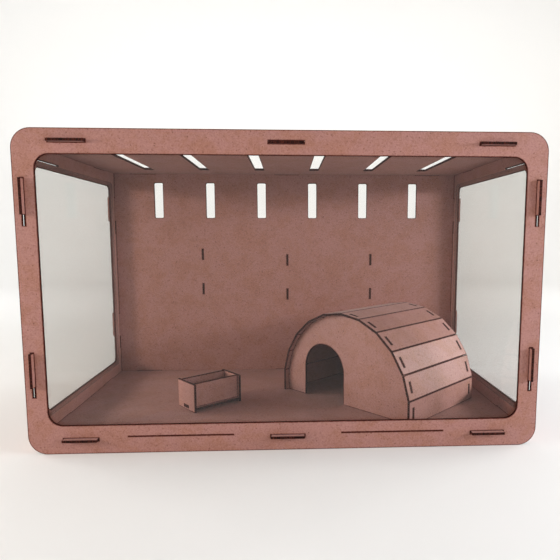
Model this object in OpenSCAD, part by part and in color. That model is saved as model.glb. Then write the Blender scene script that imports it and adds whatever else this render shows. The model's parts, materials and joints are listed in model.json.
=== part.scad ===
// Laser-cut small-animal cage: a tab-and-slot case with clear windows, an arched hide and a feed trough.
// The origin is on the ground under the middle of the case. The front faces -Y and +Z is up.

/* [Case] */
// Width of the front panel
case_w = 600; // [540:5:760]
// Height of the front panel
case_h = 370; // [310:5:480]
// Depth from the outer face of the front panel to the outer face of the back panel
case_d = 303; // [300:1:420]
// Thickness of every MDF board
board = 3; // [2.5:0.1:4]
// Outer corner radius of the front panel
corner_r = 22; // [5:1:28]
// Distance from the front panel's side edge to the outer face of a side panel
side_set_in = 8.5; // [7:0.5:12]
// Distance from the front panel's upper edge down to the top of the ceiling board
ceiling_drop = 12; // [11:0.5:18]
// Height of the underside of the floor board above the ground
floor_rise = 15.5; // [10:0.5:18]
// How far the side and back panels stop short of the front panel's upper and lower edges
shell_drop = 5; // [4:0.5:6]
// How far the side panels run on behind the back panel
rear_overhang = 12; // [8:1:20]

/* [Front window] */
// Width of the frame at each side of the front window
window_side = 24; // [20:1:40]
// Height of the frame above the front window
window_top = 28; // [26:1:40]
// Height of the frame below the front window
window_bottom = 34; // [31:1:45]
// Corner radius of the front window
window_r = 16; // [4:1:30]

/* [Side windows] */
// Distance from the front of a side panel to its window
side_window_front = 26; // [16:1:40]
// Distance from the back panel forward to the side window
side_window_back = 20; // [10:1:40]
// Distance from the ceiling down to the side window
side_window_top = 23; // [20:1:40]
// Distance from the floor up to the side window
side_window_bottom = 23; // [12:1:40]
// Corner radius of a side window
side_window_r = 8; // [3:1:20]

/* [Panes] */
// Thickness of the clear panes
pane_t = 2; // [1.5:0.5:3]
// How far a pane laps over the board around its window
pane_lap = 6; // [3:0.5:7]

/* [Tabs and slots] */
// Length of a case tab
tab_len = 40; // [25:1:50]
// How far a case tab stands out past the board that it passes through
tab_reach = 6; // [2:0.5:7]
// Distance from the case's side edge to the nearest ceiling or floor tab
tab_margin = 40; // [30:1:60]
// Distance from the case's upper edge down to the upper side tab
upper_tab_drop = 54; // [45:1:70]
// Height of the lower side tab above the ground
lower_tab_rise = 80; // [60:1:90]
// Empty length of slot below each side tab in the front panel
slot_drop = 12; // [4:1:16]
// Empty length of slot below each tab of the back panel
rear_slot_drop = 20; // [4:1:24]
// Extra width of those slots, in front of the back panel
rear_slot_play = 0.8; // [0:0.1:1.5]
// Distance from a ceiling or floor board's corner to its side tab
side_tab_margin = 45; // [35:1:55]
// Clearance around a tab in the removable front panel
front_fit = 0.3; // [0.3:0.05:0.5]
// Clearance around a tab between boards that stay together
board_fit = 0.1; // [0.05:0.05:0.3]
// Gap between a board's plain edge and the board that it meets
edge_gap = 0.3; // [0.1:0.05:0.5]

/* [Vents and slits] */
// Number of vents in a row
vent_count = 6; // [3:1:6]
// Distance between vents
vent_pitch = 86; // [70:1:90]
// Width of a vent
vent_w = 14; // [8:1:20]
// Length of a ceiling vent
ceiling_vent_len = 190; // [120:5:220]
// Height of a back vent
back_vent_h = 58; // [40:1:80]
// Distance from the ceiling down to the back vents
back_vent_drop = 15; // [10:1:25]
// Corner radius of a vent
vent_r = 2; // [0.5:0.5:3.5]
// Height of a scored slit in the back panel
slit_h = 18; // [10:1:24]
// Width of a scored slit
slit_w = 2.2; // [1:0.1:4]
// Depth of a scored slit from the inner face
slit_depth = 2; // [0.5:0.1:2.2]
// Distance between columns of scored slits
slit_pitch = 144; // [100:1:160]
// Height of the lower row of scored slits, at its middle, above the floor
slit_rise = 133; // [90:1:150]
// Distance between rows of scored slits
slit_row_pitch = 59; // [35:1:60]
// How much higher the left column of scored slits stands
slit_left_lift = 10; // [0:1:15]
// Width of the thin laser lines in the front panel's lower rail
line_w = 0.5; // [0.3:0.1:1.5]
// Length of the thin laser lines
line_len = 122; // [60:1:140]
// Distance from the middle of the case to the middle of each thin laser line
line_x = 125; // [110:1:130]
// Height of the thin laser lines above the floor board
line_rise = 1.2; // [0.8:0.1:4]
// Length of the small slit above each side window
side_slit_len = 62; // [30:1:80]
// Width of the small slit above each side window
side_slit_w = 1.2; // [1:0.1:3]
// Distance from the ceiling down to the middle of that slit
side_slit_drop = 15; // [10:1:15]

/* [Arched hide] */
// Number of roof slats
slat_count = 12; // [8:1:16]
// Radius from the middle of the arch to the inner corners between slats
hide_r = 111; // [80:1:112]
// Length of the hide, which is the length of a slat
hide_len = 160; // [110:1:162]
// Distance from a slat's end to the arched wall
arch_inset = 7.5; // [5:0.5:20]
// Length of each tab on an arched wall
hide_tab = 13; // [8:1:15]
// Width of the doorway
door_w = 74; // [40:1:76]
// Height of the doorway
door_h = 80; // [50:1:85]
// Distance of the doorway to the left of the arch's middle
door_offset = 37; // [0:1:38]
// Place of the hide to the right of the case's middle
hide_x = 130; // [110:1:135]
// Turn of the hide, clockwise from above
hide_turn = 47; // [42:1:50]

/* [Feed trough] */
// Width of the trough
trough_w = 74; // [50:1:90]
// Depth of the trough
trough_d = 44; // [30:1:56]
// Height of the trough
trough_h = 38; // [25:1:50]
// Distance from the trough's side edges in to its front and back walls
trough_wall_inset = 4; // [2:0.5:6]
// Height of the trough's base board above its lower edge
trough_base_rise = 3; // [1:0.5:6]
// Length of the tab on each side of the trough's base board
trough_tab = 12; // [6:1:15]
// Place of the trough to the left of the case's middle
trough_x = 109; // [90:1:180]
// Place of the trough in front of the case's middle
trough_y = 35; // [20:1:50]
// Turn of the trough, anticlockwise from above
trough_turn = 40; // [0:1:45]
// Gap under the loose pieces, which stand on the floor board
loose_gap = 0.3; // [0.3:0.1:0.5]

/* [Hidden] */
$fn = 64;
SLATS = [for (i = [1 : slat_count]) str("hide_slat_", i < 10 ? "0" : "", i)];

mdf = "#b08073";
clear = [0.85, 0.92, 0.95, 0.35];
overcut = 1;

// Faces of the boards, from the front to the back
total_d = tab_reach + case_d + rear_overhang;
front_y = tab_reach - total_d / 2;
shell_y = front_y + board + front_fit;
back_y = front_y + case_d - board;
rear_y = back_y + board + rear_overhang;
middle_y = (shell_y + back_y) / 2;

// Faces of the boards, across the case
side_x = case_w / 2 - side_set_in - board;
tab_xs = [for (i = [-1 : 1]) i * (case_w / 2 - tab_margin - tab_len / 2)];
tab_ys = [shell_y + side_tab_margin, back_y - side_tab_margin - tab_len];

// Faces of the boards, from the ground up
floor_z = floor_rise + board;
ceiling_z = case_h - ceiling_drop - board;
tab_zs = [lower_tab_rise, case_h - upper_tab_drop - tab_len];

// Side window
side_window_y = shell_y + side_window_front;
side_window_len = back_y - side_window_back - side_window_y;
side_window_z = floor_z + side_window_bottom;
side_window_h = ceiling_z - side_window_top - side_window_z;

// Arch of the hide
slat_turn = 180 / (slat_count - 1);
slat_w = 2 * hide_r * sin(slat_turn / 2);
slat_seat = hide_r * cos(slat_turn / 2);
arch_corners = [for (i = [0 : slat_count])
    let (a = (i - 0.5) * slat_turn)
    [hide_r * cos(a), slat_w / 2 + hide_r * sin(a)]];
arch_ys = [arch_inset - hide_len / 2, hide_len / 2 - arch_inset - board];

// A flat outline stood up to face -Y, flat outline stood up to face +X, and one laid flat
module face_front(y, t = board) {
    translate([0, y + t, 0]) rotate([90, 0, 0]) linear_extrude(t) children();
}

module face_side(x, t = board) {
    translate([x, 0, 0]) rotate([90, 0, 90]) linear_extrude(t) children();
}

module lay_flat(z, t = board) {
    translate([0, 0, z]) linear_extrude(t) children();
}

// A rectangle from its lower left corner, grown by a clearance all round
module block(place, size, grow = 0) {
    translate([place[0] - grow, place[1] - grow]) square([size[0] + 2 * grow, size[1] + 2 * grow]);
}

// A rectangle with round corners from its lower left corner
module rounded(place, size, r) {
    translate(place) {
        translate([r, 0]) square([size[0] - 2 * r, size[1]]);
        translate([0, r]) square([size[0], size[1] - 2 * r]);
        for (x = [r, size[0] - r], y = [r, size[1] - r]) translate([x, y]) circle(r);
    }
}

// The row of slots that the ceiling or floor board's front or rear tabs pass through
module board_slots(z, fit) {
    for (x = tab_xs) block([x - tab_len / 2, z], [tab_len, board], fit);
}

module front_panel() {
    color(mdf) face_front(front_y) difference() {
        rounded([-case_w / 2, 0], [case_w, case_h], corner_r);
        front_window(0);
        for (z = [floor_rise, ceiling_z]) board_slots(z, front_fit);
        for (x = [-side_x - board, side_x], z = tab_zs)
            block([x, z - slot_drop], [board, tab_len + slot_drop], front_fit);
        for (x = [-line_x, line_x]) block([x - line_len / 2, floor_z + line_rise], [line_len, line_w]);
    }
}

module front_window(lap) {
    rounded(
        [window_side - lap - case_w / 2, window_bottom - lap],
        [case_w + 2 * (lap - window_side), case_h - window_top - window_bottom + 2 * lap],
        window_r);
}

module front_pane() {
    color(clear) face_front(front_y + board, pane_t) front_window(pane_lap);
}

module back_panel() {
    color(mdf) difference() {
        face_front(back_y) back_outline();
        face_front(back_y - overcut, slit_depth + overcut) back_slits();
    }
}

module back_outline() {
    inner_w = 2 * (side_x - edge_gap);
    difference() {
        union() {
            block([-inner_w / 2, 0], [inner_w, case_h - shell_drop]);
            for (z = tab_zs) block([-case_w / 2, z], [case_w, tab_len]);
        }
        for (z = [floor_rise, ceiling_z]) board_slots(z, board_fit);
        for (i = [0 : vent_count - 1]) rounded(
            [(i - (vent_count - 1) / 2) * vent_pitch - vent_w / 2, ceiling_z - back_vent_drop - back_vent_h],
            [vent_w, back_vent_h],
            vent_r);
    }
}

module back_slits() {
    for (i = [-1 : 1], j = [0, 1]) {
        lift = i < 0 ? slit_left_lift : 0;
        block(
            [i * slit_pitch - slit_w / 2, floor_z + slit_rise + j * slit_row_pitch + lift - slit_h / 2],
            [slit_w, slit_h]);
    }
}

// The outline that the ceiling and the floor share. The middle front tab has a reach of its own.
module deck_outline(middle_reach) {
    inner_w = 2 * (side_x - edge_gap);
    outer_w = case_w - 2 * side_set_in + 2 * tab_reach;
    block([-inner_w / 2, shell_y], [inner_w, back_y - edge_gap - shell_y]);
    for (x = tab_xs) {
        reach = x == 0 ? middle_reach : tab_reach;
        block([x - tab_len / 2, front_y - reach], [tab_len, back_y + board + tab_reach + reach - front_y]);
    }
    for (y = tab_ys) block([-outer_w / 2, y], [outer_w, tab_len]);
}

module ceiling_board() {
    color(mdf) lay_flat(ceiling_z) difference() {
        deck_outline(0);
        for (i = [0 : vent_count - 1]) rounded(
            [(i - (vent_count - 1) / 2) * vent_pitch - vent_w / 2, middle_y - ceiling_vent_len / 2],
            [vent_w, ceiling_vent_len],
            vent_r);
    }
}

module floor_board() {
    color(mdf) lay_flat(floor_rise) deck_outline(tab_reach);
}

module side_window(lap) {
    rounded(
        [side_window_y - lap, side_window_z - lap],
        [side_window_len + 2 * lap, side_window_h + 2 * lap],
        side_window_r);
}

module side_outline() {
    difference() {
        union() {
            block([shell_y, shell_drop], [rear_y - shell_y, case_h - 2 * shell_drop]);
            for (z = tab_zs)
                block([front_y - tab_reach, z], [shell_y + overcut - front_y + tab_reach, tab_len]);
        }
        side_window(0);
        for (y = tab_ys, z = [floor_rise, ceiling_z]) block([y, z], [tab_len, board], board_fit);
        for (z = tab_zs) block(
            [back_y - rear_slot_play, z - rear_slot_drop],
            [board + rear_slot_play, tab_len + rear_slot_drop],
            board_fit);
        block([side_window_y, ceiling_z - side_slit_drop - side_slit_w / 2], [side_slit_len, side_slit_w]);
    }
}

module left_side_panel() {
    color(mdf) face_side(-side_x - board) side_outline();
}

module right_side_panel() {
    color(mdf) face_side(side_x) side_outline();
}

module left_pane() {
    color(clear) face_side(-side_x, pane_t) side_window(pane_lap);
}

module right_pane() {
    color(clear) face_side(side_x - pane_t, pane_t) side_window(pane_lap);
}

// The hide in its place on the floor
module place_hide() {
    translate([hide_x, middle_y, floor_z + loose_gap]) rotate([0, 0, -hide_turn]) children();
}

// Anything drawn flat on slat i's seat: across the slat, then outwards
module on_slat(i) {
    translate([0, slat_w / 2]) rotate(i * slat_turn - 90) translate([0, slat_seat]) children();
}

module arch_outline() {
    polygon(arch_corners);
    for (i = [0 : slat_count - 1])
        on_slat(i) block([-hide_tab / 2, -overcut], [hide_tab, board + overcut]);
}

module doorway() {
    block([-door_offset - door_w / 2, -overcut], [door_w, door_h - door_w / 2 + overcut]);
    translate([-door_offset, door_h - door_w / 2]) circle(door_w / 2);
}

module hide_front_arch() {
    color(mdf) place_hide() face_front(arch_ys[0]) difference() {
        arch_outline();
        doorway();
    }
}

module hide_back_arch() {
    color(mdf) place_hide() face_front(arch_ys[1]) arch_outline();
}

module hide_slat(i) {
    width = slat_w - 2 * board_fit;
    color(mdf) place_hide() difference() {
        face_front(-hide_len / 2, hide_len)
            on_slat(i) block([-width / 2, board_fit], [width, board - board_fit]);
        slot_w = hide_tab + 2 * board_fit;
        for (y = arch_ys) face_front(y - board_fit, board + 2 * board_fit)
            on_slat(i) block([-slot_w / 2, -overcut], [slot_w, board + 2 * overcut]);
    }
}

// The trough in its place on the floor
module place_trough() {
    translate([-trough_x, -trough_y, floor_z + loose_gap]) rotate([0, 0, trough_turn]) children();
}

module trough_base() {
    inner_w = trough_w - 2 * (board + board_fit);
    color(mdf) place_trough() lay_flat(trough_base_rise) {
        block([-inner_w / 2, -trough_d / 2], [inner_w, trough_d]);
        block([-trough_w / 2, -trough_tab / 2], [trough_w, trough_tab]);
    }
}

module trough_wall(y) {
    inner_w = trough_w - 2 * (board + board_fit);
    foot = trough_base_rise + board + board_fit;
    color(mdf) place_trough() face_front(y) block([-inner_w / 2, foot], [inner_w, trough_h - foot]);
}

module trough_front_wall() {
    trough_wall(trough_wall_inset - trough_d / 2);
}

module trough_back_wall() {
    trough_wall(trough_d / 2 - trough_wall_inset - board);
}

module trough_side(x) {
    color(mdf) place_trough() face_side(x) difference() {
        block([-trough_d / 2, 0], [trough_d, trough_h]);
        block([-trough_tab / 2, trough_base_rise], [trough_tab, board], board_fit);
    }
}

module trough_left_side() {
    trough_side(-trough_w / 2);
}

module trough_right_side() {
    trough_side(trough_w / 2 - board);
}

front_panel();
back_panel();
left_side_panel();
right_side_panel();
ceiling_board();
floor_board();
front_pane();
left_pane();
right_pane();
hide_front_arch();
hide_back_arch();
for (i = [1 : slat_count]) hide_slat(i - 1);
trough_base();
trough_front_wall();
trough_back_wall();
trough_left_side();
trough_right_side();
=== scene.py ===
"""Looks for the laser-cut small-animal cage: boards, panes, hide, trough, floor, light and camera."""

import json
import math

import bmesh
import bpy
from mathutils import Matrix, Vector


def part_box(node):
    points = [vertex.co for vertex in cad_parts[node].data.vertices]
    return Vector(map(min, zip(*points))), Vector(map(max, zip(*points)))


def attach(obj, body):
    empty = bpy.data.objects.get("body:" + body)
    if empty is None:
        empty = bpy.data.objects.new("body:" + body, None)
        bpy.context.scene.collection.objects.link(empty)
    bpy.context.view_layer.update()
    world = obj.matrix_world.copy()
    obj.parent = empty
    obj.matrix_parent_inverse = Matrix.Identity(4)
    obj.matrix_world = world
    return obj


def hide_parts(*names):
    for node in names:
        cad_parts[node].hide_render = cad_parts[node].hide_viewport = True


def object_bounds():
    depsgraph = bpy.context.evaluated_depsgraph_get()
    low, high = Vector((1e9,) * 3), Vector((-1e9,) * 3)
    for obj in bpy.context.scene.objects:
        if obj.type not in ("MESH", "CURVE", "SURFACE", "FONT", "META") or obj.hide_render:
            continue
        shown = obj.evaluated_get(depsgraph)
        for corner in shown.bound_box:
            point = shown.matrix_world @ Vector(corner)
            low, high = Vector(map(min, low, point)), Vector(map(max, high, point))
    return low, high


bl_info = {
    "name": "Laser-Cut Cage",
    "version": (1, 0, 0),
    "blender": (4, 5, 0),
    "location": "3D View > Sidebar > Cage",
    "description": "Finishes the boards, panes, floor and light of a tab-and-slot small-animal cage",
    "category": "Object",
}

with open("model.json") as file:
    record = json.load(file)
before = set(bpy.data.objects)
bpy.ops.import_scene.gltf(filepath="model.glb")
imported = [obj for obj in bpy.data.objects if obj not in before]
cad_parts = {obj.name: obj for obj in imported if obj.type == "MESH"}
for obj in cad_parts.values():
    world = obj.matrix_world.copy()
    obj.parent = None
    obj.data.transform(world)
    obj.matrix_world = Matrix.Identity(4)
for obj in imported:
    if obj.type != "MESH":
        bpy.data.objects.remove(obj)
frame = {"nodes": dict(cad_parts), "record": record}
cad_low, cad_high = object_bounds()

MM = 0.001
BODY_OF = {
    node: body for body, nodes in frame["record"]["behaviour"]["bodies"].items() for node in nodes
}
NODES = sorted(BODY_OF)
SLATS = [node for node in NODES if node.startswith("hide_slat_")]
ARCHES = ["hide_front_arch", "hide_back_arch"]
TROUGH_BOARDS = [node for node in NODES if node.startswith("trough_")]
PANES = [node for node in NODES if node.endswith("_pane")]
CASE_BOARDS = [node for node in NODES if node not in SLATS + ARCHES + TROUGH_BOARDS + PANES]

# Vertices closer than this are one, and faces turned less than this are one flat face.
WELD = 0.01 * MM
FLAT = math.radians(0.5)
# A cosine above this says that a face lies along its sheet.
ALONG_SHEET = 0.99
# A sine above this says that a sheet stands steep, so that its level line gives its direction.
STEEP = 0.5
# An edge turned more than this is rounded over, and one turned more than the other is shaded sharp.
CUT_EDGE = math.radians(50)
SHADED_EDGE = math.radians(15)
# Each sheet takes its pattern from a place of its own in the stock, this far from the last one.
STOCK_STEP = Vector((0.37, 0.23, 0.11))

# Sockets of a Mix node that mixes colours. They share their names with those of its other modes.
MIX_A = 6
MIX_B = 7
MIX_RESULT = 2

# Where the softboxes stand, and how wide and high they are, in metres. The grazing ones and the fill
# are placed from the middle of the front panel, the ones behind from the middle of the cage, and the
# wash from the middle of the floor.
GRAZE_PLACE = Vector((1.3, -0.38, 0.25))
LEFT_GRAZE_SIZE = (0.33, 0.16)
# Wide, so that the corner of the case throws no hard shadow on the hide.
RIGHT_GRAZE_SIZE = (0.6, 0.16)
BEHIND_PLACE = Vector((2.4, 0.4, 0.5))
BEHIND_SIZE = (1.6, 1.0)
FILL_PLACE = Vector((0, -2.2, 0))
FILL_SIZE = (3.2, 2.6)
WASH_PLACE = Vector((0, 1.0, 1.8))
WASH_SIZE = (2.4, 0.6)
# How high on the backdrop the wash is aimed.
WASH_AIM = 1.4


# ---------------------------------------------------------------- settings


def linear(hex_colour):
    """An sRGB hex value as the linear RGBA that a shader takes."""
    parts = [int(hex_colour.lstrip("#")[i : i + 2], 16) / 255 for i in (0, 2, 4)]
    return tuple(p / 12.92 if p <= 0.04045 else ((p + 0.055) / 1.055) ** 2.4 for p in parts) + (1.0,)


def colour_setting(name, description, hex_colour):
    """A colour property whose default is an sRGB hex value."""
    return bpy.props.FloatVectorProperty(
        name=name,
        description=description,
        subtype="COLOR",
        size=4,
        min=0,
        max=1,
        default=linear(hex_colour),
    )


def length_setting(name, description, metres, low, high):
    """A length property in metres."""
    return bpy.props.FloatProperty(
        name=name,
        description=description,
        subtype="DISTANCE",
        unit="LENGTH",
        precision=5,
        default=metres,
        min=low,
        max=high,
    )


def angle_setting(name, description, degrees, low, high):
    """An angle property, written here in degrees."""
    return bpy.props.FloatProperty(
        name=name,
        description=description,
        subtype="ANGLE",
        unit="ROTATION",
        default=math.radians(degrees),
        min=math.radians(low),
        max=math.radians(high),
    )


def power_setting(name, description, watts):
    """The power of one softbox."""
    return bpy.props.FloatProperty(
        name=name, description=description, subtype="POWER", unit="POWER", default=watts, min=0, max=500
    )


class CageBoardSettings(bpy.types.PropertyGroup):
    """Finish of the laser-cut boards."""

    # The face and the browner patches differ by painted sheen: pinker where the press left a glossier skin,
    # browner where it left a duller one.
    face: colour_setting("Face", "Pressed face of the board", "#aa786f")
    low_sheen_patch: colour_setting("Warm patches", "Browner patches in the pressed face", "#a16c59")
    fibre: colour_setting("Fibres", "Pale fibres in the pressed face", "#bf8e84")
    bark: colour_setting("Bark", "Dark specks in the pressed face", "#6b3d30")
    scorch: colour_setting("Scorch", "Scorched line along a cut", "#5a1f12")
    cut: colour_setting("Cut wall", "Wall of the board where the laser went through", "#54231a")
    char: colour_setting("Char", "Darkest streaks on the cut wall", "#1e0c09")
    scorch_width: length_setting("Scorch width", "Scorched line along a cut", 1.2 * MM, 0.3 * MM, 2 * MM)
    edge_round: length_setting("Rounding", "Softened edge of a cut", 0.15 * MM, 0.05 * MM, 0.4 * MM)


class CagePaneSettings(bpy.types.PropertyGroup):
    """Finish of the clear panes."""

    clear: colour_setting("Clear", "Light that one face of a pane lets through", "#fafaf9")
    edge: colour_setting("Edge", "Milky part of a pane's laser-cut edge", "#c9d2cf")
    edge_round: length_setting("Rounding", "Softened edge of a pane", 0.2 * MM, 0.05 * MM, 0.4 * MM)


class CageStageSettings(bpy.types.PropertyGroup):
    """Floor, backdrop, light and camera."""

    floor: colour_setting("Floor", "Pale studio floor and backdrop", "#efeeec")
    floor_radius: length_setting("Radius", "From the cage to the backdrop", 3.2, 1, 10)
    backdrop_height: length_setting("Backdrop height", "Height of the backdrop", 2.6, 1, 10)
    backdrop_curve: length_setting("Curve", "Radius where the floor turns up", 1.0, 0.1, 2)
    left_graze: power_setting("Left graze", "Softbox that grazes the front panel from the left", 8.5)
    right_graze: power_setting("Right graze", "Softbox that grazes the front panel from the right", 13.5)
    left_behind: power_setting("Left window", "Softbox that shines in through the left window", 48)
    right_behind: power_setting("Right window", "Softbox that shines in through the right window", 48)
    front_fill: power_setting("Front fill", "Softbox behind the camera", 7)
    wash: power_setting("Wash", "Softbox that lights the backdrop behind the cage", 20)
    left_tint: colour_setting("Left tint", "Colour of the left grazing softbox", "#fff4e6")
    right_tint: colour_setting("Right tint", "Colour of the right grazing softbox", "#f1f7ff")
    room_tint: colour_setting("Room tint", "Colour of the pale room", "#f4f3f1")
    room: bpy.props.FloatProperty(
        name="Room", description="Brightness of the pale room", default=0.2, min=0, max=5
    )
    camera_distance: length_setting("Distance", "From the front panel to the camera", 0.5888, 0.2, 5)
    camera_height: length_setting("Height", "Height of the camera above the floor", 0.2545, 0, 5)
    camera_aside: length_setting("Aside", "From the middle of the cage, to the right", 1.2 * MM, -1, 1)
    camera_turn: angle_setting("Turn", "Turn of the camera to the right", 2.82, -180, 180)
    camera_tilt: angle_setting("Tilt", "Tilt of the camera down", 6.26, -90, 90)
    focal_length: bpy.props.FloatProperty(
        name="Focal length", description="In millimetres, on a 36 mm sensor", default=33.1, min=10, max=200
    )
    camera_shift: bpy.props.FloatVectorProperty(
        name="Shift", description="Shift of the frame right and up", size=2, default=(-0.0596, 0.0192)
    )


# ---------------------------------------------------------------- materials


def add_node(tree, kind, settings=None, links=None):
    """Adds a node, sets its properties and sockets, and links the sockets that another node feeds."""
    node = tree.nodes.new(kind)
    for key, value in (settings or {}).items():
        if isinstance(key, str) and hasattr(node, key):
            setattr(node, key, value)
        else:
            node.inputs[key].default_value = value
    for key, source in (links or {}).items():
        tree.links.new(source, node.inputs[key])
    return node


def new_material(name):
    """A node material with nothing in it but its output, and that output."""
    material = bpy.data.materials.new(name)
    material.use_nodes = True
    material.node_tree.nodes.clear()
    return material, add_node(material.node_tree, "ShaderNodeOutputMaterial")


def pressed_mdf():
    """The face of red-brown MDF, hot-pressed and left unpainted.

    The press leaves a smooth satin face with soft patches a few centimetres wide, whose
    stronger or weaker sheen is painted into the colour, a felt of short fibres and a few bark
    specks. The laser leaves a scorched line along every cut.
    """
    look = bpy.context.scene.cage_boards
    material, output = new_material("pressed_mdf_face")
    tree = material.node_tree
    place = add_node(tree, "ShaderNodeAttribute", {"attribute_name": "board_place"}).outputs["Vector"]
    edge = add_node(tree, "ShaderNodeAttribute", {"attribute_name": "scorch"}).outputs["Fac"]
    # Patches about 30 mm wide with ragged edges, where the press left more or less resin. Where it left
    # more, the face shines more. This sheen is painted into the colour: pinker where it is strong, browner
    # where it is dull.
    patches = add_node(
        tree,
        "ShaderNodeTexNoise",
        {"Scale": 1 / (30 * MM), "Detail": 7.0, "Roughness": 0.68, "Distortion": 0.4},
        {"Vector": place},
    )
    sheen_patch_share = add_node(
        tree,
        "ShaderNodeMapRange",
        {"interpolation_type": "SMOOTHSTEP", "From Min": 0.38, "From Max": 0.66, "To Max": 0.85},
        {"Value": patches.outputs["Fac"]},
    )
    sheen_toned = add_node(
        tree,
        "ShaderNodeMix",
        {"data_type": "RGBA", MIX_A: look.face, MIX_B: look.low_sheen_patch},
        {0: sheen_patch_share.outputs["Result"]},
    )
    # A felt of fibres. Real ones are 0.1 mm thick, and these are about 1 mm, so that they show.
    felt = add_node(
        tree,
        "ShaderNodeTexNoise",
        {"Scale": 1 / (3 * MM), "Detail": 5.0, "Roughness": 0.7, "Distortion": 1.0},
        {"Vector": place},
    )
    pale_share = add_node(
        tree,
        "ShaderNodeMapRange",
        {"From Min": 0.48, "From Max": 0.75, "To Max": 0.5},
        {"Value": felt.outputs["Fac"]},
    )
    fibrous = add_node(
        tree,
        "ShaderNodeMix",
        {"data_type": "RGBA", MIX_B: look.fibre},
        {0: pale_share.outputs["Result"], MIX_A: sheen_toned.outputs[MIX_RESULT]},
    )
    # The hollows between the fibres are browner.
    hollow_share = add_node(
        tree,
        "ShaderNodeMapRange",
        {"From Min": 0.5, "From Max": 0.3, "To Max": 0.45},
        {"Value": felt.outputs["Fac"]},
    )
    felted = add_node(
        tree,
        "ShaderNodeMix",
        {"data_type": "RGBA", MIX_B: look.bark},
        {0: hollow_share.outputs["Result"], MIX_A: fibrous.outputs[MIX_RESULT]},
    )
    # Bark specks up to 2 mm wide, about 8 mm apart.
    specks = add_node(
        tree, "ShaderNodeTexVoronoi", {"Scale": 1 / (8 * MM), "Randomness": 1.0}, {"Vector": place}
    )
    speck_share = add_node(
        tree,
        "ShaderNodeMapRange",
        {"From Min": 0.14, "From Max": 0.06, "To Max": 0.7},
        {"Value": specks.outputs["Distance"]},
    )
    pressed = add_node(
        tree,
        "ShaderNodeMix",
        {"data_type": "RGBA", MIX_B: look.bark},
        {0: speck_share.outputs["Result"], MIX_A: felted.outputs[MIX_RESULT]},
    )
    # The scorched line frays over 3 mm stretches, and fades away from the cut.
    fray = add_node(
        tree,
        "ShaderNodeTexNoise",
        {"Scale": 1 / (3 * MM), "Detail": 2.0, "Roughness": 0.6},
        {"Vector": place},
    )
    frayed_edge = add_node(tree, "ShaderNodeMath", {"operation": "ADD"}, {0: edge, 1: fray.outputs["Fac"]})
    scorch_share = add_node(
        tree,
        "ShaderNodeMapRange",
        {"interpolation_type": "SMOOTHSTEP", "From Min": 0.5, "From Max": 1.0, "To Max": 0.95},
        {"Value": frayed_edge.outputs["Value"]},
    )
    colour = add_node(
        tree,
        "ShaderNodeMix",
        {"data_type": "RGBA", MIX_B: look.scorch},
        {0: scorch_share.outputs["Result"], MIX_A: pressed.outputs[MIX_RESULT]},
    )
    # Satin where the press was smooth, duller on the fibres, and matt where it is scorched.
    satin = add_node(
        tree,
        "ShaderNodeMapRange",
        {"From Min": 0.3, "From Max": 0.7, "To Min": 0.42, "To Max": 0.6},
        {"Value": felt.outputs["Fac"]},
    )
    roughness = add_node(
        tree,
        "ShaderNodeMath",
        {"operation": "MULTIPLY_ADD", 1: 0.5},
        {0: scorch_share.outputs["Result"], 2: satin.outputs["Result"]},
    )
    # The fibres stand 0.02 mm proud.
    bump = add_node(
        tree, "ShaderNodeBump", {"Strength": 0.5, "Distance": 0.02 * MM}, {"Height": felt.outputs["Fac"]}
    )
    surface = add_node(
        tree,
        "ShaderNodeBsdfPrincipled",
        {"IOR": 1.5, "Specular IOR Level": 0.4, "Sheen Weight": 0.08, "Sheen Roughness": 0.5},
        {
            "Base Color": colour.outputs[MIX_RESULT],
            "Roughness": roughness.outputs["Value"],
            "Normal": bump.outputs["Normal"],
        },
    )
    tree.links.new(surface.outputs["BSDF"], output.inputs["Surface"])
    return material


def charred_mdf():
    """The wall that the laser leaves through the board: matt, brown, with black streaks."""
    look = bpy.context.scene.cage_boards
    material, output = new_material("laser_charred_mdf_wall")
    tree = material.node_tree
    place = add_node(tree, "ShaderNodeAttribute", {"attribute_name": "board_place"}).outputs["Vector"]
    # Char streaks about 1 mm apart, drawn out through the thickness of the board.
    drawn_out = add_node(tree, "ShaderNodeMapping", {"Scale": (1.0, 1.0, 0.12)}, {"Vector": place})
    streaks = add_node(
        tree,
        "ShaderNodeTexNoise",
        {"Scale": 1 / (1.2 * MM), "Detail": 4.0, "Roughness": 0.65},
        {"Vector": drawn_out.outputs["Vector"]},
    )
    char_share = add_node(
        tree,
        "ShaderNodeMapRange",
        {"interpolation_type": "SMOOTHSTEP", "From Min": 0.3, "From Max": 0.6},
        {"Value": streaks.outputs["Fac"]},
    )
    colour = add_node(
        tree,
        "ShaderNodeMix",
        {"data_type": "RGBA", MIX_A: look.cut, MIX_B: look.char},
        {0: char_share.outputs["Result"]},
    )
    # The streaks are grooves 0.05 mm deep.
    bump = add_node(
        tree, "ShaderNodeBump", {"Strength": 0.6, "Distance": 0.05 * MM}, {"Height": streaks.outputs["Fac"]}
    )
    roughness = add_node(
        tree, "ShaderNodeMapRange", {"To Min": 0.75, "To Max": 0.95}, {"Value": streaks.outputs["Fac"]}
    )
    surface = add_node(
        tree,
        "ShaderNodeBsdfPrincipled",
        {"IOR": 1.5, "Specular IOR Level": 0.15},
        {
            "Base Color": colour.outputs[MIX_RESULT],
            "Roughness": roughness.outputs["Result"],
            "Normal": bump.outputs["Normal"],
        },
    )
    tree.links.new(surface.outputs["BSDF"], output.inputs["Surface"])
    return material


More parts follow.
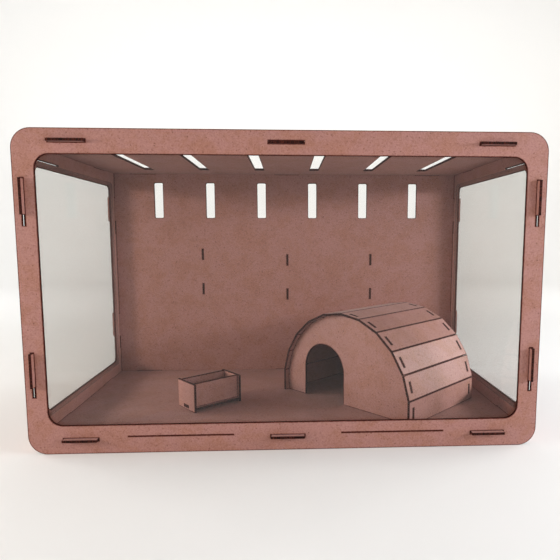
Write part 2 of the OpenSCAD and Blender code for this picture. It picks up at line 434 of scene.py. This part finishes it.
def clear_acrylic_face():
    """The face of a clear cast-acrylic pane, which mirrors more the flatter it is seen.

    It carries a trace of wiping marks, which only change the gloss.
    """
    look = bpy.context.scene.cage_panes
    material, output = new_material("clear_cast_acrylic_face")
    tree = material.node_tree
    place = add_node(tree, "ShaderNodeAttribute", {"attribute_name": "board_place"}).outputs["Vector"]
    # Reflection grows from 4% face on to all of it at a grazing angle, the same from either side.
    facing = add_node(tree, "ShaderNodeLayerWeight", {"Blend": 0.5})
    steep = add_node(tree, "ShaderNodeMath", {"operation": "POWER", 1: 5.0}, {0: facing.outputs["Facing"]})
    mirrored = add_node(
        tree, "ShaderNodeMapRange", {"To Min": 0.04, "To Max": 1.0}, {"Value": steep.outputs["Value"]}
    )
    # Wiping marks: long soft streaks about 12 mm wide.
    drawn_out = add_node(
        tree,
        "ShaderNodeMapping",
        {"Rotation": (0.0, 0.0, math.radians(12)), "Scale": (1.0, 0.15, 1.0)},
        {"Vector": place},
    )
    wiping = add_node(
        tree,
        "ShaderNodeTexNoise",
        {"Scale": 1 / (12 * MM), "Detail": 3.0, "Roughness": 0.5},
        {"Vector": drawn_out.outputs["Vector"]},
    )
    gloss = add_node(
        tree,
        "ShaderNodeMapRange",
        {"From Min": 0.35, "From Max": 0.7, "To Min": 0.02, "To Max": 0.12},
        {"Value": wiping.outputs["Fac"]},
    )
    clear = add_node(tree, "ShaderNodeBsdfTransparent", {"Color": look.clear})
    mirror = add_node(tree, "ShaderNodeBsdfGlossy", {}, {"Roughness": gloss.outputs["Result"]})
    surface = add_node(
        tree,
        "ShaderNodeMixShader",
        {},
        {0: mirrored.outputs["Result"], 1: clear.outputs["BSDF"], 2: mirror.outputs["BSDF"]},
    )
    tree.links.new(surface.outputs["Shader"], output.inputs["Surface"])
    return material


def cut_acrylic_edge():
    """The laser-cut edge of a pane: nearly clear, with a fine wave that catches the light."""
    look = bpy.context.scene.cage_panes
    material, output = new_material("laser_cut_acrylic_edge")
    tree = material.node_tree
    place = add_node(tree, "ShaderNodeAttribute", {"attribute_name": "board_place"}).outputs["Vector"]
    # The wave is about 0.8 mm long.
    wave = add_node(tree, "ShaderNodeTexNoise", {"Scale": 1 / (0.8 * MM), "Detail": 1.0}, {"Vector": place})
    wavy = add_node(
        tree, "ShaderNodeBump", {"Strength": 0.4, "Distance": 0.05 * MM}, {"Height": wave.outputs["Fac"]}
    )
    milky_share = add_node(
        tree,
        "ShaderNodeMapRange",
        {"From Min": 0.3, "From Max": 0.7, "To Min": 0.15, "To Max": 0.3},
        {"Value": wave.outputs["Fac"]},
    )
    clear = add_node(tree, "ShaderNodeBsdfTransparent", {"Color": look.clear})
    milky = add_node(
        tree,
        "ShaderNodeBsdfPrincipled",
        {"Base Color": look.edge, "Roughness": 0.25, "IOR": 1.49},
        {"Normal": wavy.outputs["Normal"]},
    )
    surface = add_node(
        tree,
        "ShaderNodeMixShader",
        {},
        {0: milky_share.outputs["Result"], 1: clear.outputs["BSDF"], 2: milky.outputs["BSDF"]},
    )
    tree.links.new(surface.outputs["Shader"], output.inputs["Surface"])
    return material


def studio_paper():
    """Matt paper backdrop, with the faint unevenness of a rolled sheet."""
    look = bpy.context.scene.cage_stage
    material, output = new_material("studio_backdrop_paper")
    tree = material.node_tree
    place = add_node(tree, "ShaderNodeTexCoord").outputs["Object"]
    grain = add_node(
        tree, "ShaderNodeTexNoise", {"Scale": 1 / (400 * MM), "Detail": 2.0}, {"Vector": place}
    )
    roughness = add_node(
        tree, "ShaderNodeMapRange", {"To Min": 0.75, "To Max": 0.95}, {"Value": grain.outputs["Fac"]}
    )
    surface = add_node(
        tree,
        "ShaderNodeBsdfPrincipled",
        {"Base Color": look.floor, "Specular IOR Level": 0.2},
        {"Roughness": roughness.outputs["Result"]},
    )
    tree.links.new(surface.outputs["BSDF"], output.inputs["Surface"])
    return material


def shared_material(name, make):
    """The material of that name, which is made the first time that it is asked for."""
    return bpy.data.materials.get(name) or make()


# ---------------------------------------------------------------- boards and panes


def cut_sheet(node, face_material, wall_material, edge_round, scorch_width=0.0):
    """Makes the finished sheet that stands for one CAD sheet.

    The triangles of the CAD sheet are joined into flat faces. A narrow band is inset along every
    cut, for the scorched line, and the sharp edges of the cut are rounded over.
    """
    bm = bmesh.new()
    bm.verts.layers.float_vector.new("board_place")
    bm.verts.layers.float.new("scorch")
    bm.from_mesh(frame["nodes"][node].data)
    bmesh.ops.remove_doubles(bm, verts=bm.verts, dist=WELD)
    bmesh.ops.dissolve_limit(bm, angle_limit=FLAT, verts=bm.verts, edges=bm.edges)
    normal = max(bm.faces, key=lambda face: face.calc_area()).normal.copy()
    heights = [vert.co.dot(normal) for vert in bm.verts]
    skins = (min(heights), max(heights))
    scorch_along_cuts(bm, [face for face in bm.faces if in_skin(face, normal, skins)], scorch_width)
    bmesh.ops.bevel(
        bm,
        geom=[edge for edge in bm.edges if edge.calc_face_angle(0.0) > CUT_EDGE],
        offset=edge_round,
        affect="EDGES",
        segments=2,
        profile=0.5,
        material=-1,
        clamp_overlap=True,
    )
    lay_in_stock(bm, normal, NODES.index(node) * STOCK_STEP)
    for face in bm.faces:
        face.smooth = True
        face.material_index = 0 if in_skin(face, normal, skins) else 1
    mesh = bpy.data.meshes.new(node + "_cut")
    bm.to_mesh(mesh)
    bm.free()
    # The shading that came with the CAD sheet no longer fits the faces.
    for name in ("custom_normal", "sharp_edge", "sharp_face"):
        if name in mesh.attributes:
            mesh.attributes.remove(mesh.attributes[name])
    mesh.set_sharp_from_angle(angle=SHADED_EDGE)
    mesh.materials.append(face_material)
    mesh.materials.append(wall_material)
    piece = bpy.data.objects.new(node + "_cut", mesh)
    bpy.context.scene.collection.objects.link(piece)
    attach(piece, BODY_OF[node])
    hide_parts(node)
    return piece


def in_skin(face, normal, skins):
    """Whether a face lies in one of the two outer faces of its sheet."""
    height = face.calc_center_median().dot(normal)
    nearest = min(abs(height - skin) for skin in skins)
    return abs(face.normal.dot(normal)) > ALONG_SHEET and nearest < WELD


def scorch_along_cuts(bm, flat, width):
    """Insets a band along every cut in the flat faces. The scorch is 1 at the cut and 0 past the band."""
    scorch = bm.verts.layers.float["scorch"]
    if width:
        bmesh.ops.inset_region(bm, faces=flat, thickness=width, use_boundary=True, use_even_offset=True)
    for vert in bm.verts:
        vert[scorch] = 1.0
    for face in flat:
        for vert in face.verts:
            vert[scorch] = 0.0


def lay_in_stock(bm, normal, start):
    """Gives each vertex its place in the stock that the sheet is cut from, for the pattern to follow."""
    place = bm.verts.layers.float_vector["board_place"]
    level = Vector((0, 0, 1)).cross(normal)
    along = level.normalized() if level.length > STEEP else Vector((1, 0, 0))
    across = normal.cross(along)
    for vert in bm.verts:
        vert[place] = start + Vector((vert.co.dot(along), vert.co.dot(across), vert.co.dot(normal)))


def cut_boards(nodes):
    """Makes the finished boards that stand for these CAD boards."""
    look = bpy.context.scene.cage_boards
    face = shared_material("pressed_mdf_face", pressed_mdf)
    wall = shared_material("laser_charred_mdf_wall", charred_mdf)
    for node in nodes:
        cut_sheet(node, face, wall, look.edge_round, look.scorch_width)


# ---------------------------------------------------------------- stage


def softbox(name, place, target, size, power, colour=(1, 1, 1)):
    """A rectangular area light at place that shines at target."""
    lamp = bpy.data.lights.new(name, "AREA")
    lamp.shape = "RECTANGLE"
    lamp.size, lamp.size_y = size
    lamp.energy = power
    lamp.color = colour[:3]
    light = bpy.data.objects.new(name, lamp)
    light.location = place
    light.rotation_euler = (target - place).to_track_quat("-Z", "Y").to_euler()
    light.visible_camera = False
    bpy.context.scene.collection.objects.link(light)
    return light


def backdrop():
    """A round pale floor that turns up into a wall all the way round."""
    look = bpy.context.scene.cage_stage
    bm = bmesh.new()
    points = [(0, 0, 0), (look.floor_radius, 0, 0), (look.floor_radius, 0, look.backdrop_height)]
    middle, turn, top = (bm.verts.new(point) for point in points)
    bm.edges.new((middle, turn))
    bm.edges.new((turn, top))
    bmesh.ops.bevel(
        bm,
        geom=[turn],
        offset=look.backdrop_curve,
        affect="VERTICES",
        segments=16,
        profile=0.5,
        material=-1,
    )
    bmesh.ops.spin(
        bm,
        geom=bm.verts[:] + bm.edges[:],
        cent=(0, 0, 0),
        axis=(0, 0, 1),
        angle=2 * math.pi,
        steps=96,
        use_merge=True,
    )
    bmesh.ops.remove_doubles(bm, verts=bm.verts, dist=WELD)
    bmesh.ops.recalc_face_normals(bm, faces=bm.faces)
    mesh = bpy.data.meshes.new("studio_backdrop")
    bm.to_mesh(mesh)
    bm.free()
    mesh.polygons.foreach_set("use_smooth", [True] * len(mesh.polygons))
    mesh.materials.append(studio_paper())
    floor = bpy.data.objects.new("studio_backdrop", mesh)
    bpy.context.scene.collection.objects.link(floor)
    # The panes mirror the pale room and not the bright paper, so that they stay clear.
    floor.visible_glossy = False
    return floor


def studio_light():
    """A grazing and a far softbox on either side, a fill, a wash on the backdrop, and a pale room."""
    look = bpy.context.scene.cage_stage
    middle = (cad_low + cad_high) / 2
    front = Vector((middle.x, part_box("front_panel")[0].y, middle.z))
    # The grazing lights show the tabs' shadows, and the far ones shine in through the side windows.
    for name, side, size, graze, tint, behind in (
        ("left", -1, LEFT_GRAZE_SIZE, look.left_graze, look.left_tint, look.left_behind),
        ("right", 1, RIGHT_GRAZE_SIZE, look.right_graze, look.right_tint, look.right_behind),
    ):
        mirrored = Vector((side, 1, 1))
        softbox(name + "_graze", front + GRAZE_PLACE * mirrored, middle, size, graze, tint)
        softbox(name + "_behind", middle + BEHIND_PLACE * mirrored, middle, BEHIND_SIZE, behind)
    softbox("front_fill", front + FILL_PLACE, middle, FILL_SIZE, look.front_fill)
    softbox("backdrop_wash", WASH_PLACE, Vector((0, look.floor_radius, WASH_AIM)), WASH_SIZE, look.wash)
    world = bpy.data.worlds.new("pale_room")
    world.use_nodes = True
    tree = world.node_tree
    tree.nodes.clear()
    room = add_node(tree, "ShaderNodeBackground", {"Color": look.room_tint, "Strength": look.room})
    add_node(tree, "ShaderNodeOutputWorld", {}, {"Surface": room.outputs["Background"]})
    bpy.context.scene.world = world
    bpy.context.scene.view_settings.view_transform = "Standard"


def camera():
    """The camera, close in front of the middle of the cage and turned slightly right and down."""
    look = bpy.context.scene.cage_stage
    lens = bpy.data.cameras.new("camera")
    lens.lens = look.focal_length
    lens.shift_x, lens.shift_y = look.camera_shift
    lens.clip_start = 10 * MM
    view = bpy.data.objects.new("camera", lens)
    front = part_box("front_panel")[0].y
    view.location = (look.camera_aside, front - look.camera_distance, look.camera_height)
    view.rotation_euler = (math.radians(90) - look.camera_tilt, 0, -look.camera_turn)
    bpy.context.scene.collection.objects.link(view)
    bpy.context.scene.camera = view
    return view


# ---------------------------------------------------------------- operators


class CAGE_OT_case_boards(bpy.types.Operator):
    """Finish the case: the front and back panels, the sides, the ceiling and the floor"""

    bl_idname = "cage.case_boards"
    bl_label = "Case Boards"

    def execute(self, context):
        cut_boards(CASE_BOARDS)
        return {"FINISHED"}


class CAGE_OT_hide_arches(bpy.types.Operator):
    """Finish the two arched walls of the hide"""

    bl_idname = "cage.hide_arches"
    bl_label = "Hide Arches"

    def execute(self, context):
        cut_boards(ARCHES)
        return {"FINISHED"}


class CAGE_OT_hide_slats(bpy.types.Operator):
    """Finish the roof slats of the hide"""

    bl_idname = "cage.hide_slats"
    bl_label = "Hide Slats"

    def execute(self, context):
        cut_boards(SLATS)
        return {"FINISHED"}


class CAGE_OT_trough_boards(bpy.types.Operator):
    """Finish the five boards of the feed trough"""

    bl_idname = "cage.trough_boards"
    bl_label = "Trough Boards"

    def execute(self, context):
        cut_boards(TROUGH_BOARDS)
        return {"FINISHED"}


class CAGE_OT_panes(bpy.types.Operator):
    """Finish the clear panes behind the windows"""

    bl_idname = "cage.panes"
    bl_label = "Panes"

    def execute(self, context):
        look = context.scene.cage_panes
        face = shared_material("clear_cast_acrylic_face", clear_acrylic_face)
        edge = shared_material("laser_cut_acrylic_edge", cut_acrylic_edge)
        for node in PANES:
            cut_sheet(node, face, edge, look.edge_round)
        return {"FINISHED"}


class CAGE_OT_stage(bpy.types.Operator):
    """Set up the floor, backdrop, light and camera"""

    bl_idname = "cage.stage"
    bl_label = "Stage"

    def execute(self, context):
        backdrop()
        studio_light()
        camera()
        return {"FINISHED"}


class CAGE_PT_sidebar(bpy.types.Panel):
    """The cage's settings and its operators."""

    bl_idname = "CAGE_PT_sidebar"
    bl_label = "Laser-Cut Cage"
    bl_space_type = "VIEW_3D"
    bl_region_type = "UI"
    bl_category = "Cage"

    def draw(self, context):
        for name, kind in SETTINGS.items():
            box = self.layout.box()
            for setting in kind.__annotations__:
                box.prop(getattr(context.scene, name), setting)
        for operator in OPERATORS:
            self.layout.operator(operator.bl_idname)


SETTINGS = {
    "cage_boards": CageBoardSettings,
    "cage_panes": CagePaneSettings,
    "cage_stage": CageStageSettings,
}
OPERATORS = [
    CAGE_OT_case_boards,
    CAGE_OT_hide_arches,
    CAGE_OT_hide_slats,
    CAGE_OT_trough_boards,
    CAGE_OT_panes,
    CAGE_OT_stage,
]


def register():
    """Makes the settings, operators and panel known to Blender."""
    for kind in [*SETTINGS.values(), *OPERATORS, CAGE_PT_sidebar]:
        bpy.utils.register_class(kind)
    for name, kind in SETTINGS.items():
        setattr(bpy.types.Scene, name, bpy.props.PointerProperty(type=kind))


def unregister():
    """Takes the settings, operators and panel away again."""
    for name in SETTINGS:
        delattr(bpy.types.Scene, name)
    for kind in reversed([*SETTINGS.values(), *OPERATORS, CAGE_PT_sidebar]):
        bpy.utils.unregister_class(kind)


def main():
    register()
    bpy.ops.cage.case_boards()
    bpy.ops.cage.hide_arches()
    bpy.ops.cage.hide_slats()
    bpy.ops.cage.trough_boards()
    bpy.ops.cage.panes()
    bpy.ops.cage.stage()


if __name__ == "__main__":
    main()
